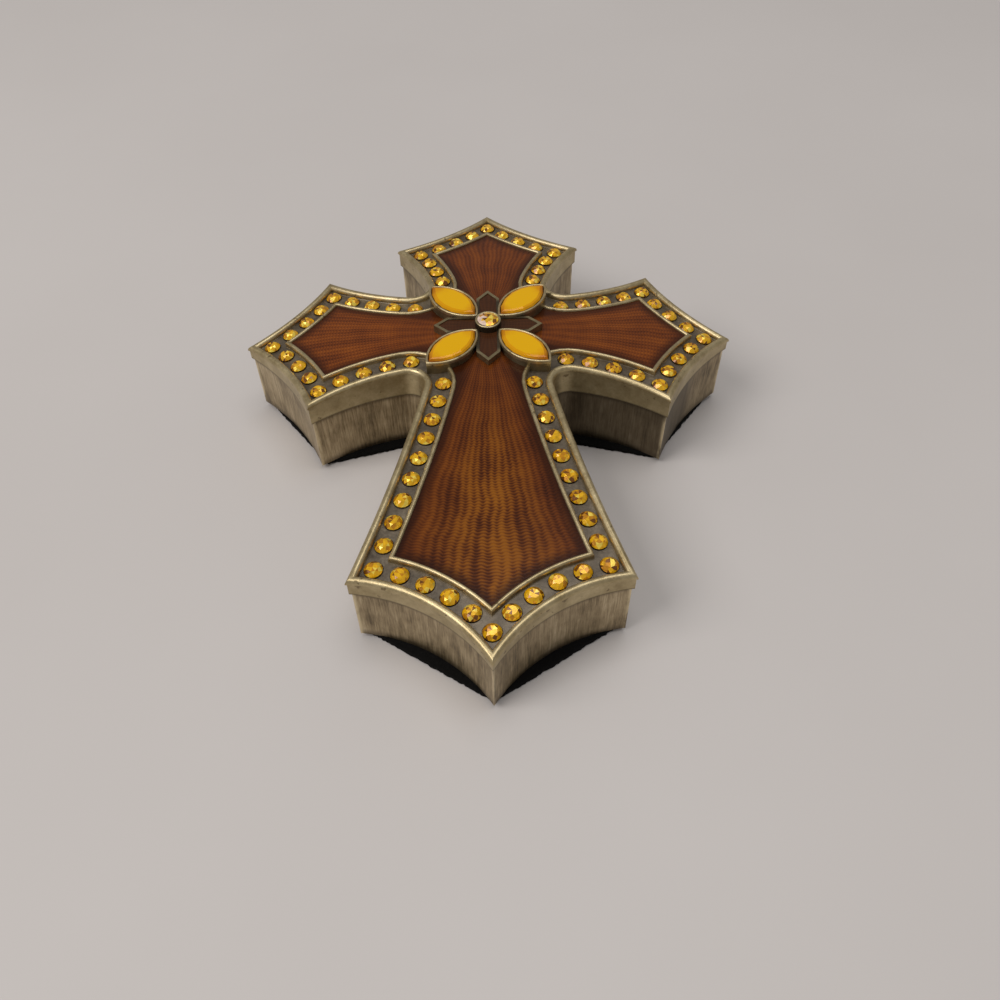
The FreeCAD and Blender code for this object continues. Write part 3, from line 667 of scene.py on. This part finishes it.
def seat_cutter():
    shape = bmesh.new()
    radius, depth = STONE / 2 + SEAT_GAP, STONE_SEAT + STONE_PROUD
    lift = Matrix.Translation((0, 0, depth / 2 - STONE_SEAT))
    for matrix in stone_matrices:
        bmesh.ops.create_cone(shape, cap_ends=True, segments=SEAT_SIDES, radius1=radius, radius2=radius,
                              depth=depth, matrix=matrix @ lift)
    return finish_mesh("seat_cutter", shape)


def drilled(mesh, cutter_mesh):
    """The mesh with the cutters taken out of it."""
    solid = bpy.data.objects.new("drill_solid", mesh)
    cutter = bpy.data.objects.new("drill_cutter", cutter_mesh)
    for item in (solid, cutter):
        bpy.context.scene.collection.objects.link(item)
    modifier = solid.modifiers.new("seats", "BOOLEAN")
    modifier.operation = "DIFFERENCE"
    modifier.solver = "EXACT"
    modifier.object = cutter
    graph = bpy.context.evaluated_depsgraph_get()
    result = bpy.data.meshes.new_from_object(solid.evaluated_get(graph))
    for item in (solid, cutter):
        bpy.data.objects.remove(item)
    shade(result, CAST_ANGLE)
    return result


new_piece("lid_casting", "lid", [LID_BRASS], drilled(lid_mesh(), seat_cutter()),
          ["lid_shell"])

# Marquise stones, and the boss and bezels round them

M_START, M_LENGTH, M_WIDTH, M_BEZEL = 2.3, 10.4, 5.4, 0.3
M_GAP, M_KEEL, M_STEPS = 0.08, 2.2, 6
DIAGONALS = {"marquise_back_left": 135, "marquise_back_right": 45,
             "marquise_front_left": 225, "marquise_front_right": 315}
PLATE_LEVEL = CROWN_TOP - 0.8
BOSS_MARGIN, BOSS_DEPTH, BOSS_RISE, BOSS_STEPS = 0.02, 1.3, 0.02, 14
CUP_TOP, CENTRE_CUP_TOP, CENTRE_CUP = CROWN_TOP + 1.0, CROWN_TOP + 1.5, 1.9
BEZEL_OUT, BEZEL_SPREAD, BEZEL_RISE, BEZEL_SINK, BEZEL_STEPS = 0.05, 0.04, 0.2, 0.1, 8
OUTER_SKIRT, INNER_SKIRT = 0.5, 0.2
CUP_STEPS, CENTRE_CUP_STEPS = 16, 30


def shrunk(margin, steps):
    """The marquise outline drawn in evenly by a margin."""
    half, bulge = M_LENGTH / 2, M_WIDTH / 2
    radius = (half ** 2 + bulge ** 2) / (2 * bulge) - margin
    new_bulge = bulge - margin
    new_half = math.sqrt(radius ** 2 - (radius - new_bulge) ** 2)
    return vesica(M_START + half - new_half, 2 * new_half, 2 * new_bulge, steps)


def marquise_ring(shape, degrees, margin, level, steps):
    places = [turned(p, degrees) for p in shrunk(margin, steps)]
    return [shape.verts.new((p.x, p.y, level)) for p in places]


def marquise_mesh(name, degrees):
    low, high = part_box(name)
    bottom, top = low.z / MM, high.z / MM
    shape = bmesh.new()
    levels = [(M_BEZEL + M_GAP, top - 0.38), (0.60, top - 0.10), (0.92, top)]
    rings = [marquise_ring(shape, degrees, margin, level, M_STEPS) for margin, level in levels]
    keel = marquise_ring(shape, degrees, M_KEEL, bottom, M_STEPS)
    for ring, following in zip(rings, rings[1:]):
        bridge(shape, ring, following, 1)
    shape.faces.new(rings[-1])
    bridge(shape, keel, rings[0], 1)
    shape.faces.new(list(reversed(keel))).material_index = 1
    return finish_mesh(name + "_cut", shape, FACET_ANGLE)


for name, degrees in DIAGONALS.items():
    new_piece(name + "_cut", "lid", [MARQUISE_TOP, MARQUISE_SIDE_SHADED],
              marquise_mesh(name, degrees), [name])


def boss_mesh():
    shape = bmesh.new()
    for degrees in DIAGONALS.values():
        low = marquise_ring(shape, degrees, BOSS_MARGIN, PLATE_LEVEL - BOSS_DEPTH, BOSS_STEPS)
        high = marquise_ring(shape, degrees, BOSS_MARGIN, PLATE_LEVEL + BOSS_RISE, BOSS_STEPS)
        bridge(shape, low, high)
        shape.faces.new(list(reversed(low)))
        shape.faces.new(high)
    return finish_mesh("ornament_boss", shape)


def ridge(shape, ring_at, top):
    """A half-round edge along a closed line, with skirts down into the cup wall on both sides."""
    outer, inner = -BEZEL_OUT, M_BEZEL + BEZEL_SPREAD
    middle, half = (outer + inner) / 2, (inner - outer) / 2
    section = [(outer, top - OUTER_SKIRT)]
    for k in range(BEZEL_STEPS + 1):
        angle = math.pi * k / BEZEL_STEPS
        section.append((middle - half * math.cos(angle), top - BEZEL_SINK + BEZEL_RISE * math.sin(angle)))
    section.append((inner, top - INNER_SKIRT))
    rings = [ring_at(margin, level) for margin, level in section]
    for ring, following in zip(rings, rings[1:] + rings[:1]):
        bridge(shape, ring, following)


def bezel_mesh():
    shape = bmesh.new()
    for degrees in DIAGONALS.values():
        ridge(shape, lambda margin, level: marquise_ring(shape, degrees, margin, level, CUP_STEPS), CUP_TOP)

    def round_ring(margin, level):
        places = [turned(flat(CENTRE_CUP - margin, 0), 360 / CENTRE_CUP_STEPS * k)
                  for k in range(CENTRE_CUP_STEPS)]
        return [shape.verts.new((p.x, p.y, level)) for p in places]
    ridge(shape, round_ring, CENTRE_CUP_TOP)
    return finish_mesh("bezel_edges", shape, BEZEL_ANGLE)


new_piece("bezel_edges", "lid", [LID_BRASS], bezel_mesh())
new_piece("ornament_boss", "lid", [ORNAMENT_BRASS], boss_mesh())

CENTRE_STONE, CENTRE_GIRDLE, CENTRE_PROUD, CENTRE_SPIN = 3.2, 0.1, 0.4, 0.2
centre_shape = bmesh.new()
centre_low, centre_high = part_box("centre_stone")
cup_top = centre_high.z / MM - CENTRE_PROUD
brilliant(centre_shape, CENTRE_STONE, cup_top - centre_low.z / MM, CENTRE_GIRDLE, CENTRE_PROUD, CENTRE_SPIN,
          Matrix.Translation((0, 0, cup_top)), centre_tone)
new_piece("centre_stone_cut", "lid", FACETS,
          finish_mesh("centre_stone_cut", centre_shape, FACET_ANGLE), ["centre_stone"])

# CAD nodes that keep their shape and take a finish

def dress(node, material):
    nodes[node].data.materials.clear()
    nodes[node].data.materials.append(material)


dress("base_tray", WALL_BRASS)
dress("ornament", ORNAMENT_BRASS)
dress("ornament_enamel", DARK_PANEL)
for limb, (edges, level) in LIMBS.items():
    tones = [dimmed(tone, level) for tone in BROWN_TONES]
    dress(f"enamel_{limb}", enamel(f"brown_enamel_{limb}", edges, *tones))

# Felt: a hand-cut pad with a ragged, slightly swollen edge

FELT_INSET, FELT_WAIST_OUT, FELT_THICK = 1.5, 0.5, 0.8
FELT_PITCH, LEAST_STEPS, RAGGED, FUZZ = 0.35, 6, 0.08, 0.05
FELT_SWELL = [(0.0, 0.0), (0.14, 0.12), (0.18, 0.4), (0.12, 0.66), (0.0, FELT_THICK)]
SAME = 0.01


def felt_corner(place):
    """A corner of the felt from the corner of the outline above it."""
    if abs(abs(place.x) - abs(place.y)) < SAME:
        return place + flat(math.copysign(FELT_WAIST_OUT, place.x), math.copysign(FELT_WAIST_OUT, place.y))
    if place.x == 0 or place.y == 0:
        return place - place.normalized() * FELT_INSET
    along_x = abs(place.x) > abs(place.y)
    back, side = FELT_INSET / 2, FELT_INSET
    pull = flat(back, side) if along_x else flat(side, back)
    return place - flat(math.copysign(pull.x, place.x), math.copysign(pull.y, place.y))


def felt_edge():
    corners = [felt_corner(corner) for corner in CORNERS]
    places = []
    for start, finish in zip(corners, corners[1:] + corners[:1]):
        steps = max(LEAST_STEPS, int((finish - start).length / FELT_PITCH))
        side = Vector((finish.y - start.y, start.x - finish.x)).normalized()
        for k in range(steps):
            ragged = 0.0 if k < 2 or k > steps - 2 else RAGGED
            places.append(start.lerp(finish, k / steps) + side * random.uniform(-ragged, ragged))
    return places


def felt_mesh():
    shape = bmesh.new()
    places = felt_edge()
    rings = []
    for swell, level in FELT_SWELL:
        ring = []
        fuzzy = 0 < level < FELT_THICK
        for k, place in enumerate(places):
            way = places[(k + 1) % len(places)] - places[k - 1]
            fuzz = random.uniform(-FUZZ, FUZZ) * fuzzy
            out = Vector((way.y, -way.x)).normalized() * (swell + fuzz)
            ring.append(shape.verts.new((place.x + out.x, place.y + out.y, level)))
        rings.append(ring)
    for ring, following in zip(rings, rings[1:]):
        bridge(shape, ring, following)
    cap(shape, rings[0], lambda x, y: 0.0)
    cap(shape, rings[-1], lambda x, y: FELT_THICK)
    return finish_mesh("felt_cut", shape, FELT_ANGLE)


felt = new_piece("felt_cut", "box", [FELT], felt_mesh(), ["felt_pad"])

# Floor, light and camera

FLOOR_HALF = 3


def floor_grey():
    n = Nodes("floor_grey")
    return n.set(Base_Color=n.ramp(n.noise(n.place(), 9, 4), FLOOR_STOPS), Roughness=0.55)


floor_mesh = bpy.data.meshes.new("floor")
floor_mesh.from_pydata([(-FLOOR_HALF, -FLOOR_HALF, 0), (FLOOR_HALF, -FLOOR_HALF, 0),
                        (FLOOR_HALF, FLOOR_HALF, 0), (-FLOOR_HALF, FLOOR_HALF, 0)], [], [(0, 1, 2, 3)])
floor = bpy.data.objects.new("floor", floor_mesh)
bpy.context.scene.collection.objects.link(floor)
floor_mesh.materials.append(floor_grey())

WORLD_COLOUR, WORLD_STRENGTH = (1.0, 0.98, 0.96, 1), 0.33
world = bpy.data.worlds.new("studio")
bpy.context.scene.world = world
world.use_nodes = True
background = world.node_tree.nodes["Background"]
background.inputs[0].default_value = WORLD_COLOUR
background.inputs[1].default_value = WORLD_STRENGTH


def area_light(name, location, width, energy, colour):
    """A square light aimed at the middle of the part."""
    data = bpy.data.lights.new(name, "AREA")
    data.size = width
    data.energy = energy
    data.color = colour
    lamp = bpy.data.objects.new(name, data)
    lamp.location = location
    lamp.rotation_euler = (-Vector(location)).to_track_quat("-Z", "Y").to_euler()
    bpy.context.scene.collection.objects.link(lamp)


area_light("key", (-0.60, -0.25, 0.75), 0.5, 4.6, (1.0, 0.97, 0.94))
area_light("overhead", (0.10, 0.05, 1.0), 0.6, 3.2, (1.0, 0.99, 0.98))

CAMERA_PLACE = Vector((0.924, -111.384, 106.2)) * MM
CAMERA_PITCH, CAMERA_YAW, CAMERA_ROLL = math.radians(49.716), math.radians(0.224), math.radians(-0.954)
CAMERA_LENS, CAMERA_SENSOR, CAMERA_NEAR = 33.68, 36.0, 0.005
forward = Vector((math.sin(CAMERA_YAW) * math.cos(CAMERA_PITCH),
                  math.cos(CAMERA_YAW) * math.cos(CAMERA_PITCH), -math.sin(CAMERA_PITCH)))
level_right = Vector((math.cos(CAMERA_YAW), -math.sin(CAMERA_YAW), 0))
level_up = level_right.cross(forward)
right = math.cos(CAMERA_ROLL) * level_right + math.sin(CAMERA_ROLL) * level_up
up = -math.sin(CAMERA_ROLL) * level_right + math.cos(CAMERA_ROLL) * level_up
camera_data = bpy.data.cameras.new("camera")
camera_data.lens = CAMERA_LENS
camera_data.sensor_width = CAMERA_SENSOR
camera_data.sensor_fit = "HORIZONTAL"
camera_data.clip_start = CAMERA_NEAR
camera = bpy.data.objects.new("camera", camera_data)
camera.matrix_world = Matrix.Translation(CAMERA_PLACE) @ Matrix((right, up, -forward)).transposed().to_4x4()
bpy.context.scene.collection.objects.link(camera)
bpy.context.scene.camera = camera
bpy.context.scene.view_settings.view_transform = "Standard"
